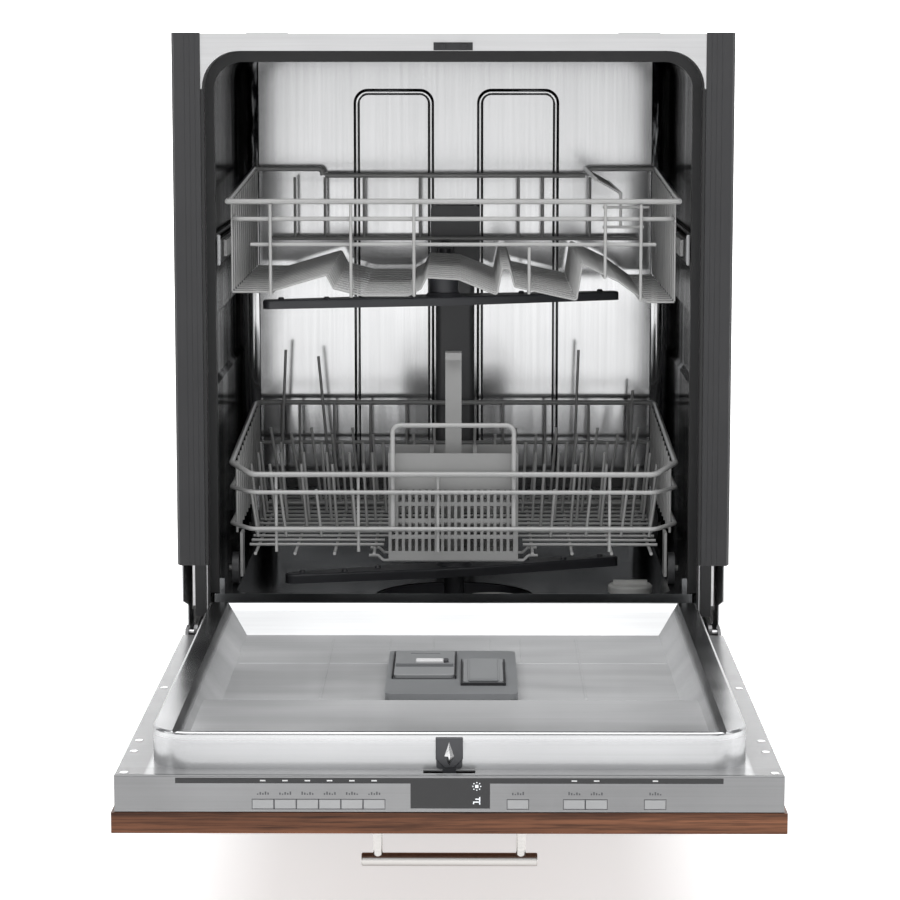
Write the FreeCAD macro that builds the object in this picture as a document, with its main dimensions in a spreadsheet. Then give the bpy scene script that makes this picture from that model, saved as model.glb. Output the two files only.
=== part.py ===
import FreeCAD, Part
import math
import os
import re

import Sketcher

# A built-in dishwasher, drawn with its door open on its stop. Millimetres. +X is the machine's right
# as seen from the front, +Y goes back into the kitchen wall, +Z is up. The origin is on the floor,
# in the middle of the space that the open machine takes. The alias front is the y of the cabinet's
# front plane.

V = FreeCAD.Vector
doc = FreeCAD.newDocument("Dishwasher")
sheet = doc.addObject("Spreadsheet::Sheet", "Sizes")
parts = {}

SIZES = {
    # cabinet
    "front": 45, "depth": 565, "height": 860, "half_body": 298, "half_base": 285,
    "sheet_metal": 1.2, "foot_height": 25, "base_top": 150, "base_back": 578,
    # mouth of the tub and the tub itself
    "mouth_half": 270, "mouth_top": 840.5, "mouth_floor": 205, "mouth_depth": 46,
    "mouth_corner": 40, "tub_half": 264, "tub_top": 836, "tub_depth": 485, "tub_corner": 28,
    "ledge_z": 243, "ledge_half": 242, "floor_z": 200, "ledge_start": 34,
    # sump and spray arms
    "sump_y": 250, "sump_radius": 95, "lower_hub_z": 227, "lower_arm_reach": 205,
    "upper_hub_y": 240, "upper_arm_z": 548, "upper_arm_reach": 216,
    # door, lying open
    "hinge_back": 5, "hinge_z": 207, "pin_radius": 4, "door_length": 655, "half_door": 295,
    "door_top": 209.5, "door_under": 176, "wood_under": 157, "wood_tail": 45,
    "rim_z": 243, "rim_half": 266, "basin_half": 246, "floor_half": 223, "basin_z": 213, "plateau_z": 229,
    "button_long": 19.2, "button_tall": 8.5, "button_z": 179.5,
    "handle_radius": 6, "handle_pitch": 128, "handle_long": 158, "handle_z": 122.7, "handle_y": 40,
    # dispenser in the door
    "cup_deck": 226, "lid_gap": 0.3,
    # racks
    "wire": 1.75, "fine_wire": 1.15, "rail_wire": 3, "upper_rail_z": 677.5, "upper_front": 38,
    "upper_back": 450, "upper_half": 250, "lower_top": 377, "lower_front": 32, "lower_back": 450,
    "lower_half": 248, "lower_floor": 290, "wheel_radius": 18, "wheel_wide": 9,
    "wheel_gap": 0.4, "basket_low": 279.2, "basket_top": 399, "basket_half": 72,
}


def fill_sheet():
    """One row per size: its name in A, its value in B, with the name as the value's alias."""
    for row, (name, value) in enumerate(SIZES.items(), start=1):
        sheet.set(f"A{row}", name)
        sheet.set(f"B{row}", str(value))
        sheet.setAlias(f"B{row}", name)
    doc.recompute()


def bind(formula):
    """The same formula as an expression that reads the sheet."""
    return re.sub(r"[a-z][a-z_]*", lambda word: "Sizes." + word.group(), str(formula))


def num(formula):
    """The value of a formula of the sheet's sizes."""
    return float(sheet.evalExpression(str(formula)))


def keep(node, item):
    item.Label = node
    parts[node] = item
    return item


# ---- primitives and booleans ----

def block(name, x, y, z):
    """A box between low and high formulas on each axis."""
    box = doc.addObject("Part::Box", name)
    for side, axis, (low, high) in zip(("Length", "Width", "Height"), "xyz", (x, y, z)):
        box.setExpression(side, bind(f"({high})-({low})"))
        box.setExpression("Placement.Base." + axis, bind(low))
    return box


TURN = {"x": (V(0, 1, 0), 90), "y": (V(1, 0, 0), -90), "z": (V(0, 0, 1), 0)}


def bar(name, radius, start, length, axis="z"):
    """A cylinder that runs from start along +x, +y or +z."""
    rod = doc.addObject("Part::Cylinder", name)
    rod.Placement.Rotation = FreeCAD.Rotation(*TURN[axis])
    rod.setExpression("Radius", bind(radius))
    rod.setExpression("Height", bind(length))
    for letter, value in zip("xyz", start):
        rod.setExpression("Placement.Base." + letter, bind(value))
    return rod


def join(name, pieces):
    both = doc.addObject("Part::MultiFuse", name)
    both.Shapes = pieces
    both.Refine = True
    return both


def cut(name, base, tools):
    less = doc.addObject("Part::Cut", name)
    less.Base = base
    less.Tool = tools[0] if len(tools) == 1 else join(name + "_cutters", tools)
    less.Refine = True
    return less


def group(name, pieces):
    """Separate solids in one node."""
    several = doc.addObject("Part::Compound", name)
    several.Links = pieces
    return several


def round_edges(name, base, radius, wanted):
    """Fillet the edges of base for which wanted(edge) is true."""
    doc.recompute()
    edges = [i for i, edge in enumerate(base.Shape.Edges, start=1) if wanted(edge)]
    fillet = doc.addObject("Part::Fillet", name)
    fillet.Base = base
    fillet.Edges = [(i, num(radius), num(radius)) for i in edges]
    return fillet


def runs_along(axis):
    """True for a straight edge parallel to the axis."""
    def test(edge):
        if edge.Curve.TypeId != "Part::GeomLine":
            return False
        return abs(abs(getattr(edge.Curve.Direction, axis)) - 1) < 1e-6
    return test


# ---- sketched bodies ----

# each plane: its role, and the sign of its normal along the axis that it faces
PLANES = {"xy": ("XY_Plane", 1), "xz": ("XZ_Plane", -1), "yz": ("YZ_Plane", 1)}


def sketch_on(body, name, plane, level):
    role, sign = PLANES[plane]
    sketch = body.newObject("Sketcher::SketchObject", name)
    origin = [item for item in body.Origin.OriginFeatures if item.Role == role][0]
    sketch.AttachmentSupport = [(origin, "")]
    sketch.MapMode = "FlatFace"
    sketch.setExpression("AttachmentOffset.Base.z", bind(f"{sign}*({level})"))
    return sketch


def draw_outline(sketch, points):
    """A closed outline through points, each held by its two distances from the origin."""
    first = sketch.GeometryCount
    spots = [V(num(x), num(y), 0) for x, y in points]
    for start, end in zip(spots, spots[1:] + spots[:1]):
        sketch.addGeometry(Part.LineSegment(start, end))
    count = len(points)
    for i in range(count):
        joint = Sketcher.Constraint("Coincident", first + i, 2, first + (i + 1) % count, 1)
        sketch.addConstraint(joint)
    for i, (point, spot) in enumerate(zip(points, spots)):
        for kind, formula, value in zip(("DistanceX", "DistanceY"), point, (spot.x, spot.y)):
            row = sketch.addConstraint(Sketcher.Constraint(kind, -1, 1, first + i, 1, value))
            sketch.setExpression(f"Constraints[{row}]", bind(formula))


def draw_circle(sketch, x, y, radius):
    centre = V(num(x), num(y), 0)
    ring = sketch.addGeometry(Part.Circle(centre, V(0, 0, 1), num(radius)))
    for kind, formula, value in (("DistanceX", x, centre.x), ("DistanceY", y, centre.y)):
        row = sketch.addConstraint(Sketcher.Constraint(kind, -1, 1, ring, 3, value))
        sketch.setExpression(f"Constraints[{row}]", bind(formula))
    row = sketch.addConstraint(Sketcher.Constraint("Radius", ring, num(radius)))
    sketch.setExpression(f"Constraints[{row}]", bind(radius))


def prism(name, plane, points, low, high):
    """A body padded from low to high along the axis that the plane faces."""
    body = doc.addObject("PartDesign::Body", name)
    start = low if PLANES[plane][1] > 0 else high
    sketch = sketch_on(body, name + "_outline", plane, start)
    draw_outline(sketch, points)
    pad = body.newObject("PartDesign::Pad", name + "_pad")
    pad.Profile = sketch
    pad.setExpression("Length", bind(f"({high})-({low})"))
    doc.recompute()
    return body


def pocket(body, name, plane, low, high, outline=None, circle=None):
    """Cut an outline or a circle out of a body, between low and high."""
    start = high if PLANES[plane][1] > 0 else low
    sketch = sketch_on(body, name + "_outline", plane, start)
    if outline:
        draw_outline(sketch, outline)
    else:
        draw_circle(sketch, *circle)
    before = body.Shape.Volume
    hole = body.newObject("PartDesign::Pocket", name)
    hole.Profile = sketch
    hole.setExpression("Length", bind(f"({high})-({low})"))
    doc.recompute()
    if body.Shape.Volume > before - 0.1:
        raise ValueError(name + " removes nothing")
    return hole


def dress(body, kind, name, size, wanted):
    """A PartDesign fillet or chamfer on the edges for which wanted(edge) is true."""
    feature = body.Tip
    edges = [f"Edge{i}" for i, edge in enumerate(feature.Shape.Edges, start=1) if wanted(edge)]
    finish = body.newObject("PartDesign::" + kind, name)
    finish.Base = (feature, edges)
    finish.setExpression("Radius" if kind == "Fillet" else "Size", bind(size))
    doc.recompute()


def turned(name, profile, place, axis="z"):
    """A body turned about its own axis from a profile of (radius, height) formulas."""
    body = doc.addObject("PartDesign::Body", name)
    sketch = sketch_on(body, name + "_profile", "xz", "0")
    draw_outline(sketch, profile)
    spin = body.newObject("PartDesign::Revolution", name + "_turn")
    spin.Profile = sketch
    spin.ReferenceAxis = (sketch, ["V_Axis"])
    spin.Angle = 360
    body.Placement.Rotation = FreeCAD.Rotation(*TURN[axis])
    for letter, value in zip("xyz", place):
        body.setExpression("Placement.Base." + letter, bind(value))
    doc.recompute()
    return body


def rect(x, y):
    (left, right), (low, high) = x, y
    return [(left, low), (right, low), (right, high), (left, high)]


# ---- bent wire ----

def bent_path(points, bend):
    """Straight runs joined by tangent arcs of radius bend, as a list of edges per run."""
    spots = [V(*point) for point in points]
    runs = []
    start = spots[0]
    for i in range(1, len(spots)):
        if i == len(spots) - 1:
            runs.append([Part.LineSegment(start, spots[i]).toShape()])
            break
        back = (spots[i - 1] - spots[i]).normalize()
        ahead = (spots[i + 1] - spots[i]).normalize()
        half_turn = (math.pi - back.getAngle(ahead)) / 2
        reach = bend * math.tan(half_turn)
        enter = spots[i] + back * reach
        leave = spots[i] + ahead * reach
        inward = (back + ahead).normalize()
        middle = spots[i] + inward * (bend / math.cos(half_turn) - bend)
        run = [] if (enter - start).Length < 1e-6 else [Part.LineSegment(start, enter).toShape()]
        runs.append(run + [Part.Arc(enter, middle, leave).toShape()])
        start = leave
    return runs


def sweep(edges, radius):
    """A round wire along a smooth chain of edges."""
    path = Part.Wire(edges)
    first = path.OrderedEdges[0]
    start = first.valueAt(first.FirstParameter)
    heading = first.tangentAt(first.FirstParameter)
    ring = Part.makeCircle(radius, start, heading)
    return path.makePipe(Part.Face(Part.Wire(ring)))


def wire(points, radius, bend=6.0, runs=1):
    """Solids of a bent wire, each with a few of its runs, so that each stays nearly straight."""
    path = bent_path(points, bend)
    chains = [path[i:i + runs] for i in range(0, len(path), runs)]
    return [sweep([edge for run in chain for edge in run], radius) for chain in chains]


def wires(node, solids):
    """A node of separate wires."""
    item = doc.addObject("Part::Feature", node)
    item.Shape = Part.makeCompound(solids)
    return keep(node, item)


def mirrored(points):
    return [(-x, y, z) for x, y, z in points]


# ---- cabinet ----

def front_frame():
    """Folded steel frame round the mouth: a face plate and a lip that goes back to the tub."""
    plate = prism("frame_plate", "xz", rect(("-half_body+1", "half_body-1"),
                  ("mouth_floor", "height-1")), "front", "front+1.5")
    sleeve = block("frame_sleeve", ("-mouth_half-sheet_metal", "mouth_half+sheet_metal"),
                   ("front+1.5", "front+mouth_depth"), ("mouth_floor", "mouth_top+sheet_metal"))
    outside = round_edges("frame_sleeve_round", sleeve, "mouth_corner", top_corners)
    mouth = block("frame_mouth", ("-mouth_half", "mouth_half"), ("front-5", "front+mouth_depth+5"),
                  ("mouth_floor-5", "mouth_top"))
    opening = round_edges("frame_mouth_round", mouth, "mouth_corner", top_corners)
    slots = [block("frame_slot_" + side, x, ("front-5", "front+5"), ("mouth_floor-1", "281"))
             for side, x in (("left", ("-half_body", "-mouth_half")), ("right", ("mouth_half", "half_body")))]
    covers = [block("frame_cover_" + side, x, ("front", "front+1.5"), ("236", "283"))
              for side, x in (("left", ("-286", "-283.4")), ("right", ("283.4", "286")))]
    whole = cut("frame_cleared", join("frame_whole", [plate, outside]), [opening] + slots)
    keep("front_frame", join("frame_final", [whole] + covers))


def top_corners(edge):
    return runs_along("y")(edge) and edge.CenterOfMass.z > 500


def tub_wrapper():
    """The tub's sides and roof: one sheet with a pressed rib along each side wall."""
    half, top = num("tub_half"), num("tub_top")
    thick = num("sheet_metal")
    solids = []
    for grow in (thick, 0):
        side = [(half + grow, num("ledge_z")), (half + grow, 470), (half + 5 + grow, 476),
                (half + 5 + grow, 545), (half + grow, 551)]
        outline = side + [(half + grow, top + grow), (-half - grow, top + grow)]
        outline += [(-x, z) for x, z in reversed(side)]
        start = num("front+mouth_depth")
        edges = Part.makePolygon([V(x, start, z) for x, z in outline + outline[:1]])
        prism_solid = Part.Face(edges).extrude(V(0, num("tub_depth-mouth_depth"), 0))
        corners = [edge for edge in prism_solid.Edges
                   if runs_along("y")(edge) and edge.CenterOfMass.z > 800]
        solids.append(prism_solid.makeFillet(num("tub_corner") + grow, corners))
    wrapper = doc.addObject("Part::Feature", "tub_wrapper")
    flange = tub_flange()
    wrapper.Shape = solids[0].cut(solids[1]).fuse(flange).removeSplitter()
    keep("tub_wrapper", wrapper)


def tub_flange():
    """The wrapper's front edge, turned out to meet the frame's lip."""
    grow = num("sheet_metal")
    start, low = num("front+mouth_depth"), num("ledge_z")
    outer_half, inner_half = num("mouth_half") + grow, num("tub_half")
    outer = Part.makeBox(2 * outer_half, grow, num("mouth_top") + grow - low,
                         V(-outer_half, start, low))
    inner = Part.makeBox(2 * inner_half, grow, num("tub_top") - low, V(-inner_half, start, low))
    rounded = []
    for shape, radius in ((outer, num("mouth_corner")), (inner, num("tub_corner"))):
        corners = [edge for edge in shape.Edges if top_corners(edge)]
        rounded.append(shape.makeFillet(radius, corners))
    return rounded[0].cut(rounded[1])


def tub_back_wall():
    """Rear sheet with two pressed hoops that stand into the tub."""
    half, low, top = num("tub_half") - 0.1, num("ledge_z"), num("tub_top") - 0.1
    start = num("front+tub_depth")
    plate = Part.makeBox(2 * half, num("sheet_metal"), top - low, V(-half, start, low))
    corners = [edge for edge in plate.Edges if top_corners(edge)]
    shape = plate.makeFillet(num("tub_corner"), corners)
    for left, right in ((-122, -30), (31, 125)):
        path = [(left, start, low + 1), (left, start, 790), (right, start, 790),
                (right, start, low + 1)]
        hoop = wire(path, 4.0, bend=14, runs=3)[0]
        front_half = Part.makeBox(2 * half, 6, top - low, V(-half, start - 6, low))
        shape = shape.fuse(hoop.common(front_half))
    wall = doc.addObject("Part::Feature", "tub_back_wall")
    wall.Shape = shape.removeSplitter()
    keep("tub_back_wall", wall)


def tub_floor():
    """Pressed floor: two wheel ledges, a basin between them, and an apron at the mouth."""
    pan = block("floor_pan", ("-tub_half-sheet_metal", "tub_half+sheet_metal"),
                ("front+ledge_start", "front+tub_depth+sheet_metal"), ("floor_z-1.5", "ledge_z"))
    apron = block("floor_apron", ("-mouth_half", "mouth_half"), ("front+2", "front+ledge_start+1.5"),
                  ("mouth_floor-1.5", "mouth_floor"))
    basin = block("floor_basin", ("-ledge_half", "ledge_half"),
                  ("front+ledge_start+1.5", "front+tub_depth"), ("floor_z", "ledge_z+50"))
    under = [block("floor_under_" + side, x, ("front+ledge_start+1.5", "front+tub_depth"),
                   ("floor_z-5", "ledge_z-1.5"))
             for side, x in (("left", ("-tub_half", "-ledge_half-1.5")),
                             ("right", ("ledge_half+1.5", "tub_half")))]
    drain = bar("floor_drain", "sump_radius", ("0", "front+sump_y", "floor_z-5"), "10")
    neck = bar("floor_salt_neck", "24", ("207", "front+225", "floor_z-5"), "10")
    bowl = round_edges("floor_basin_round", basin, "22", runs_along("z"))
    body = join("floor_body", [pan, apron])
    sheet_floor = cut("floor_pressed", body, [bowl, drain, neck] + under)
    tabs = [block("floor_tab_" + side, x, ("front+ledge_start+2", "front+mouth_depth"),
                  ("ledge_z", "ledge_z+17"))
            for side, x in (("left", ("-259.6", "-254")), ("right", ("254", "259.6")))]
    keep("tub_floor", join("floor_final", [sheet_floor] + tabs))


def tub_gasket():
    """Rubber seal: an inverted U in the mouth, and a straight lip along its floor."""
    outer = block("gasket_outer", ("-mouth_half", "mouth_half"), ("front+ledge_start", "front+mouth_depth"),
                  ("ledge_z+1", "mouth_top"))
    inner = block("gasket_inner", ("-mouth_half+10", "mouth_half-10"), ("front+30", "front+50"),
                  ("ledge_z-5", "mouth_top-12"))
    ring = cut("gasket_ring", round_edges("gasket_outer_round", outer, "mouth_corner", top_corners),
               [round_edges("gasket_inner_round", inner, "mouth_corner-10", top_corners)])
    lip = prism("gasket_lip", "yz", [("front+8", "mouth_floor"), ("front+15", "mouth_floor"),
                ("front+13", "mouth_floor+3"), ("front+11", "mouth_floor+5"), ("front+9", "mouth_floor+3")],
                "-mouth_half+3", "mouth_half-3")
    flaps = [block("gasket_flap_" + side, x, ("front+0.3", "front+1.4"), ("224", "280.7"))
             for side, x in (("left", ("-283", "-mouth_half-1.8")), ("right", ("mouth_half+1.8", "283")))]
    keep("tub_gasket", group("gasket_final", [ring, lip] + flaps))


def side_trims():
    """Ribbed rubber strips on the frame, with a fin that closes the gap to the next cupboard."""
    left_right = []
    for side, way in (("left", -1), ("right", 1)):
        ribs = []
        for inside in (271.6, 277.2, 282.8, 288.4):
            ribs += [(f"{way}*{inside}", "front-1.7"), (f"{way}*{inside + 0.6}", "front-2"),
                     (f"{way}*{inside + 5.2}", "front-2")]
        outline = [(f"{way}*271.6", "front")] + ribs
        outline += [(f"{way}*299.6", "front-2"), (f"{way}*302.8", "front+6"),
                    (f"{way}*301.8", "front+7.5"), (f"{way}*298.4", "front")]
        left_right.append(prism("trim_" + side, "xy", outline, "281", "height"))
    keep("side_trims", group("side_trims_final", left_right))


def side_panels():
    """Outer steel sides, cut back at the front where the door's lower end swings."""
    outline = [("front+62", "base_top-90"), ("front+depth", "base_top-90"),
               ("front+depth", "height-3"), ("front+3", "height-3"), ("front+3", "240"),
               ("front+62", "225")]
    panels = [prism("panel_" + side, "yz", outline, low, high)
              for side, low, high in (("left", "-half_body+0.3", "-half_body+1.5"),
                                      ("right", "half_body-1.5", "half_body-0.3"))]
    keep("side_panels", group("side_panels_final", panels))


def insulation_blanket():
    """Felt over the tub's sides, roof and back."""
    outer = block("felt_outer", ("-292", "292"), ("front+52", "front+depth-20"), ("base_top+52", "856"))
    soft = round_edges("felt_outer_round", outer, "30", top_corners)
    inner = block("felt_inner", ("-270.6", "270.6"), ("front+50", "front+tub_depth+2"),
                  ("base_top", "tub_top+2"))
    corners = [block("felt_notch_" + side, x, ("front+50", "front+70"), ("base_top", "222"))
               for side, x in (("left", ("-295", "-270")), ("right", ("270", "295")))]
    keep("insulation_blanket", cut("felt_final", soft, [inner] + corners))


def base_tray():
    """Drip tray that carries the machine on its feet, open at the top."""
    body = prism("base_body", "xy", rect(("-half_base", "half_base"), ("front+66", "base_back")),
                 "foot_height", "base_top+40")
    pocket(body, "base_inside", "xy", "foot_height+2", "base_top+40",
           outline=rect(("-half_base+2", "half_base-2"), ("front+68", "base_back-2")))
    dress(body, "Fillet", "base_round", "6", lambda edge: runs_along("z")(edge)
          and abs(edge.CenterOfMass.x) > num("half_base-0.5"))
    for i, (x, y) in enumerate(FOOT_PLACES.values()):
        pocket(body, f"base_foot_hole_{i}", "xy", "foot_height", "foot_height+2", circle=(x, y, "6.3"))
    pocket(body, "base_valve_hole", "xz", "base_back-2", "base_back", circle=("-200", "90", "16"))
    pocket(body, "base_drain_hole", "xz", "base_back-2", "base_back", circle=("-120", "90", "14"))
    pocket(body, "base_cable_hole", "xz", "base_back-2", "base_back", circle=("200", "90", "12"))
    keep("base_tray", body)


FOOT_PLACES = {"foot_front_left": ("-250", "front+100"), "foot_front_right": ("250", "front+100"),
               "foot_rear": ("0", "base_back-30")}


def feet():
    """Screw-in levelling feet, wound fully in."""
    for node, (x, y) in FOOT_PLACES.items():
        profile = [("0", "0"), ("22", "0"), ("22", "5"), ("17", "9"), ("8", "11"), ("8", "14"),
                   ("6", "14"), ("6", "70"), ("0", "70")]
        keep(node, turned(node, profile, (x, y, "0")))


def toe_panel():
    body = prism("toe_body", "xz", rect(("-half_base", "half_base"), ("foot_height+1", "130")),
                 "front+62", "front+64")
    dress(body, "Fillet", "toe_round", "8", lambda edge: runs_along("y")(edge)
          and edge.CenterOfMass.z < 60)
    keep("toe_panel", body)


def hinge_brackets():
    """Steel cheeks on the cabinet, each with the pin that the door turns on."""
    pair = []
    for side, way in (("left", -1), ("right", 1)):
        inside, outside = ("280", "284") if way > 0 else ("-284", "-280")
        cheek = prism("bracket_" + side, "yz", [
            ("front-14", "hinge_z-6"), ("front-9", "hinge_z-9"), ("front+30", "hinge_z-9"),
            ("front+66", "hinge_z-9"), ("front+66", "hinge_z+11"), ("front-9", "hinge_z+9"),
            ("front-14", "hinge_z+6")], inside, outside)
        length = "10.5"
        start = "284" if way > 0 else "-294.5"
        pin = bar("hinge_pin_" + side, "pin_radius", (start, "front-hinge_back", "hinge_z"), length, "x")
        pair.append(join("bracket_whole_" + side, [cheek, pin]))
    keep("hinge_brackets", group("hinge_brackets_final", pair))


def sump_and_pump():
    """Sump under the floor, the wash pump beside it and the water softener."""
    bowl = turned("sump_bowl", [("0", "-85"), ("60", "-85"), ("sump_radius-1", "-62"),
                  ("sump_radius+6", "-8"), ("sump_radius+6", "-1.6"), ("sump_radius-2", "-1.6"),
                  ("sump_radius-4", "-58"), ("56", "-80"), ("0", "-80")], ("0", "front+sump_y", "floor_z"))
    post = bar("sump_post", "12", ("0", "front+sump_y", "floor_z-81"), "lower_hub_z-floor_z+80.6")
    keep("sump_housing", join("sump_final", [bowl, post]))
    pump = turned("wash_pump_body", [("0", "0"), ("46", "0"), ("50", "8"), ("50", "40"), ("38", "46"),
                  ("36", "120"), ("20", "126"), ("0", "126")], ("-230", "front+sump_y", "105"), "x")
    keep("circulation_pump", pump)
    softener = block("softener_tank", ("140", "262"), ("front+150", "front+300"), ("125", "floor_z-1.6"))
    throat = bar("softener_throat", "23.5", ("207", "front+225", "floor_z-1.6"), "11.6")
    well = bar("softener_well", "18", ("207", "front+225", "130"), "90")
    soft = round_edges("softener_round", softener, "14", runs_along("z"))
    keep("salt_container", cut("softener_final", join("softener_whole", [soft, throat]), [well]))


def connections():
    """Inlet valve with its thread, drain pump with its spout, and the mains box with its gland."""
    back = "base_back-2"
    body = block("valve_block", ("-225", "-175"), ("base_back-70", back), ("68", "112"))
    stub = bar("valve_thread", "13.2", ("-200", back, "90"), "26", "y")
    bore = bar("valve_bore", "8", ("-200", "base_back-30", "90"), "60", "y")
    keep("water_inlet_valve", cut("valve_final", join("valve_whole", [body, stub]), [bore]))
    volute = bar("drain_volute", "26", ("-120", "base_back-46", "90"), "44", "y")
    motor = bar("drain_motor", "20", ("-120", "base_back-120", "90"), "75", "y")
    spout = bar("drain_spout", "10.5", ("-120", back, "90"), "30", "y")
    hole = bar("drain_hole", "7.5", ("-120", "base_back-40", "90"), "75", "y")
    keep("drain_pump", cut("drain_final", join("drain_whole", [volute, motor, spout]), [hole]))
    box = block("mains_box", ("165", "235"), ("base_back-80", back), ("62", "125"))
    gland = bar("mains_gland", "10", ("200", back, "90"), "14", "y")
    eye = bar("mains_eye", "4.6", ("200", "base_back-28", "90"), "50", "y")
    keep("junction_box", cut("mains_final", join("mains_whole", [box, gland]), [eye]))


def spray_feed_duct():
    """Riser up the tub's back wall, with the docking port for the upper arm."""
    riser = prism("duct_riser", "xz", rect(("-24", "24"), ("floor_z", "654")),
                  "front+462", "front+tub_depth-0.2")
    dress(riser, "Fillet", "duct_edges", "8", lambda edge: runs_along("z")(edge)
          and edge.CenterOfMass.y < num("front+463"))
    dock = block("duct_dock", ("-30", "30"), ("front+457", "front+tub_depth-6.5"), ("580", "651"))
    port = bar("duct_port", "10.5", ("-12", "front+450", "597"), "25", "y")
    soft = round_edges("duct_dock_round", dock, "5", runs_along("y"))
    keep("spray_feed_duct", cut("duct_final", join("duct_whole", [riser, soft]), [port]))


def latch_strike():
    """Black plate under the top rail, with the two hooks that hold the door."""
    plate = block("strike_plate", ("-21", "21"), ("front-1.6", "front"), ("mouth_top+0.5", "mouth_top+9"))
    hooks = [block(f"strike_hook_{i}", (f"{x}", f"{x}+5"), ("front-11", "front-1.6"),
                   ("mouth_top+2", "mouth_top+7")) for i, x in enumerate((-14, 9))]
    keep("latch_strike", join("strike_final", [plate] + hooks))


def worktop_brackets():
    """Two tabs that a screw goes up through into the worktop."""
    tabs = []
    for side, x in (("left", -200), ("right", 200)):
        tab = block("tab_" + side, (f"{x}-22", f"{x}+22"), ("front+2", "front+26"), ("height-1.5", "height"))
        hole = bar("tab_hole_" + side, "2.25", (f"{x}", "front+12", "height-5"), "10")
        tabs.append(cut("tab_final_" + side, tab, [hole]))
    keep("worktop_brackets", group("tabs_final", tabs))


def filter_cup():
    """Turn-out cylinder filter with upright slots."""
    cup = turned("filter_body", [("0", "-54"), ("30", "-54"), ("32", "0"), ("36", "0"), ("36", "4"),
                 ("30", "4"), ("29", "0"), ("28", "-50"), ("0", "-50")], ("45", "front+215", "floor_z+0.5"))
    grip = block("filter_grip", ("43", "47"), ("front+186", "front+244"), ("floor_z-6", "floor_z+3"))
    keep("filter_cup", join("filter_final", [cup, grip]))


def salt_cap():
    """Screw cap of the salt container with a grip bar."""
    cap = turned("salt_cap_body", [("0", "0"), ("26", "0"), ("26", "7"), ("24", "9"), ("0", "9")],
                 ("207", "front+225", "floor_z+10.4"))
    grip = block("salt_cap_grip", ("187", "227"), ("front+222", "front+228"), ("floor_z+19", "floor_z+24"))
    keep("salt_cap", join("salt_cap_final", [cap, grip]))


def upper_tracks():
    """Fixed channels on the tub's walls."""
    pair = []
    for side, way in (("left", -1), ("right", 1)):
        outline = [(f"{way}*263.8", "606"), (f"{way}*259.6", "606"), (f"{way}*259.6", "609"),
                   (f"{way}*261.8", "609"), (f"{way}*261.8", "639"), (f"{way}*259.6", "639"),
                   (f"{way}*259.6", "642"), (f"{way}*263.8", "642")]
        pair.append(prism("track_" + side, "xz", outline, "front+50", "front+470"))
    keep("upper_tracks", group("upper_tracks_final", pair))


def telescopic_rails():
    """Moving half of each runner."""
    pair = []
    for side, way in (("left", -1), ("right", 1)):
        low, high = ("254.9", "259") if way > 0 else ("-259", "-254.9")
        pair.append(block("rail_" + side, (low, high), ("front+46", "front+455"), ("612", "636")))
    keep("telescopic_rails", group("rails_final", pair))


# ---- door ----

def door_y(distance):
    """A place measured from the cabinet's front plane towards the open door's far end."""
    return f"front-{distance}"


def inner_door_panel():
    """Pressed stainless panel: a flat flange, a raised rim, and a basin that steps up to the front."""
    flange = block("panel_flange", ("-half_door+0.5", "half_door-0.5"), (door_y(651.8), door_y(0)),
                   ("door_top-1.2", "door_top"))
    raised = block("panel_raised", ("-rim_half", "rim_half"), (door_y(632), door_y(15)),
                   ("door_top-1.2", "rim_z"))
    front_corners = round_edges("panel_raised_round", raised, "38", lambda edge: runs_along("z")(edge)
                                and edge.CenterOfMass.y < num("front-600"))
    soft_top = round_edges("panel_top_round", front_corners, "3", lambda edge:
                           edge.CenterOfMass.z > num("rim_z-0.1"))
    basin = prism("panel_basin", "yz", [
        (door_y(18), "rim_z+5"), (door_y(18), "rim_z-1"), (door_y(50), "basin_z"),
        (door_y(368), "basin_z"), (door_y(440), "plateau_z"), (door_y(612), "plateau_z"),
        (door_y(628), "rim_z-3"), (door_y(628), "rim_z+5")], "-basin_half-4", "basin_half+4")
    slopes = prism("panel_slopes", "xz", [
        ("-floor_half", "basin_z-5"), ("floor_half", "basin_z-5"), ("floor_half", "basin_z"),
        ("basin_half", "rim_z"), ("basin_half", "rim_z+5"), ("-basin_half", "rim_z+5"),
        ("-basin_half", "rim_z"), ("-floor_half", "basin_z")], door_y(640), door_y(10))
    hollow = doc.addObject("Part::MultiCommon", "panel_hollow")
    hollow.Shapes = [basin, slopes]
    under = prism("panel_under", "yz", [
        (door_y(16.5), "rim_z-5"), (door_y(50), "basin_z-1.5"), (door_y(368), "basin_z-1.5"),
        (door_y(440), "plateau_z-1.5"), (door_y(613), "plateau_z-1.5"), (door_y(629.5), "rim_z-5"),
        (door_y(629.5), "door_under"), (door_y(16.5), "door_under")],
        "-floor_half+2", "floor_half-2")
    sides = [prism("panel_rim_hollow_" + side, "xz", [
        (f"{way}*(rim_half-1.5)", "door_under"), (f"{way}*(rim_half-1.5)", "rim_z-1.5"),
        (f"{way}*(basin_half+2)", "rim_z-1.5"), (f"{way}*(floor_half+2)", "basin_z-1.5"),
        (f"{way}*(floor_half+2)", "door_under")], door_y(590), door_y(16.5))
             for side, way in (("left", -1), ("right", 1))]
    recess = block("panel_recess", ("-23", "23"), (door_y(646), door_y(633.5)), ("door_under", "door_top+1"))
    window = block("panel_window", ("-60.2", "61.2"), (door_y(396), door_y(199)),
                   ("door_under", "basin_z+1"))
    step = block("panel_step", ("-64.3", "65.3"), (door_y(400.3), door_y(366)), ("door_under", "rim_z+5"))
    whole = join("panel_whole", [flange, soft_top])
    hollows = [hollow, under, recess, window, step] + sides + notches("panel")
    keep("inner_door_panel", cut("panel_final", whole, hollows))


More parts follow.
